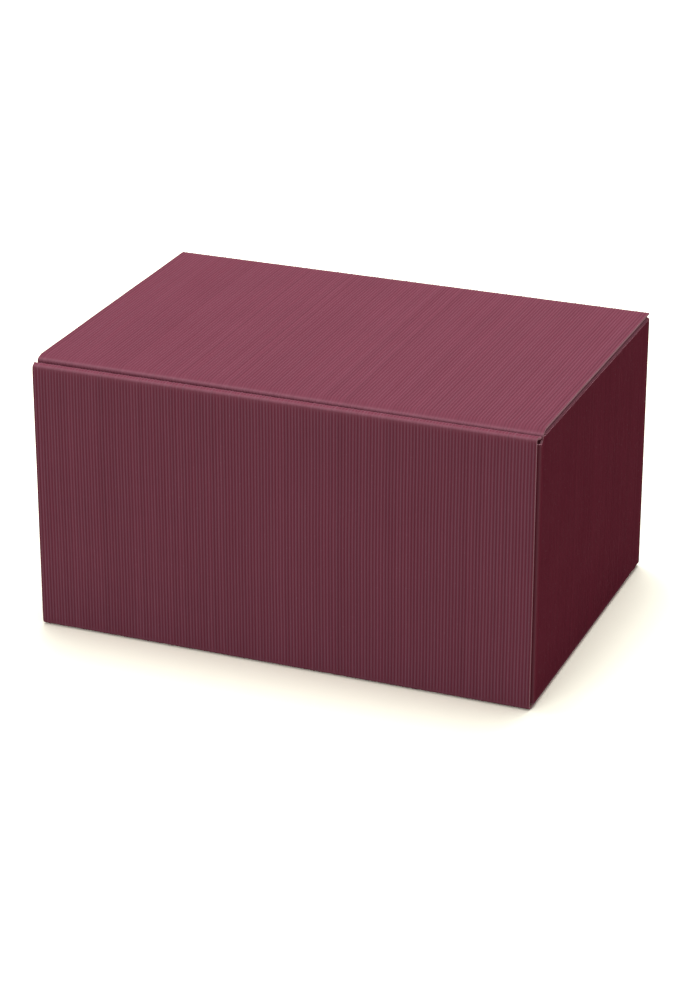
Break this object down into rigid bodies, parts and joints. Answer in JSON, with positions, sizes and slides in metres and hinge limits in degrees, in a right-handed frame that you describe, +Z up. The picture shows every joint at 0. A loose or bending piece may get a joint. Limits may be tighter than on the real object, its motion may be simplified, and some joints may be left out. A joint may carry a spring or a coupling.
{
  "type": "bottle shipping box",
  "caption": "Closed rectangular shipping box folded from dark red open-flute board, with a rolled front wall, a hinged tuck lid and folded dividers for lying bottles.",
  "frame": {"origin": "middle of the underside of the closed box", "axes": "+X along the rolled front to the right, -Y out of the front, +Z up"},
  "size_m": [0.355, 0.246, 0.193],
  "materials": {
    "fluted_board": "matt, open flutes",
    "plain_board": "matt kraft"
  },
  "bodies": {
    "box": {"box_body": "fluted_board", "lower_divider": "plain_board", "layer_pad": "plain_board", "upper_divider": "plain_board"},
    "lid": {"lid": "fluted_board"}
  },
  "joints": [
    {"name": "lid_hinge", "type": "hinge", "parent": "box", "child": "lid", "pos_m": [0, 0.1216, 0.1916], "axis": [-1, 0, 0], "range_deg": [0, 115]}
  ]
}
